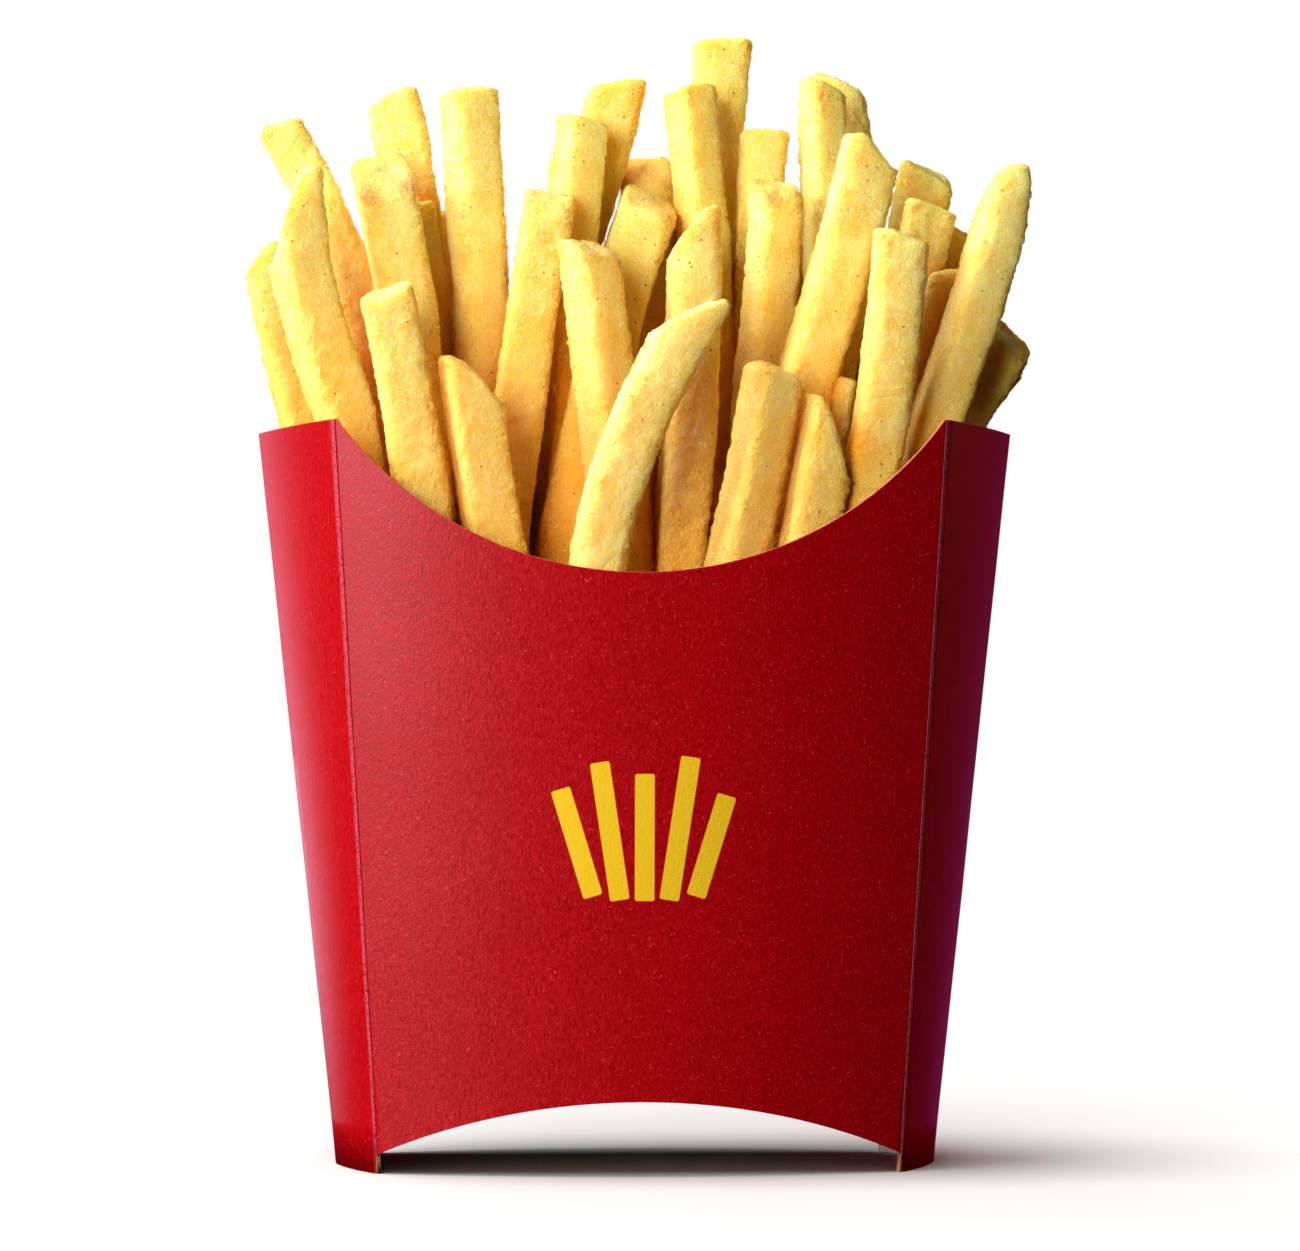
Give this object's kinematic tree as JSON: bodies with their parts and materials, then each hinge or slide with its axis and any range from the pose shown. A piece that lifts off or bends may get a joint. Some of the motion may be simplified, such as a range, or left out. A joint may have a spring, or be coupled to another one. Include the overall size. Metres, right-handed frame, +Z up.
{
  "type": "french fries in a carton",
  "caption": "Open folded paperboard carton with a scooped front and back and an arched bottom, filled with golden french fries that fan out above its rim",
  "frame": {"origin": "on the floor under the middle of the whole box of carton and fries", "axes": "+Z up, the carton's front panel faces -Y, +X to the right seen from the front, the flat of the carton lies along X"},
  "size_m": [0.1193, 0.0656, 0.1724],
  "materials": {
    "carton_board": "satin crimson coated board, pale cut edges and inside",
    "fried_potato": "golden fine-grained crust, browned ends"
  },
  "bodies": {
    "root": {"carton": "carton_board", "fries": "fried_potato"}
  },
  "joints": []
}
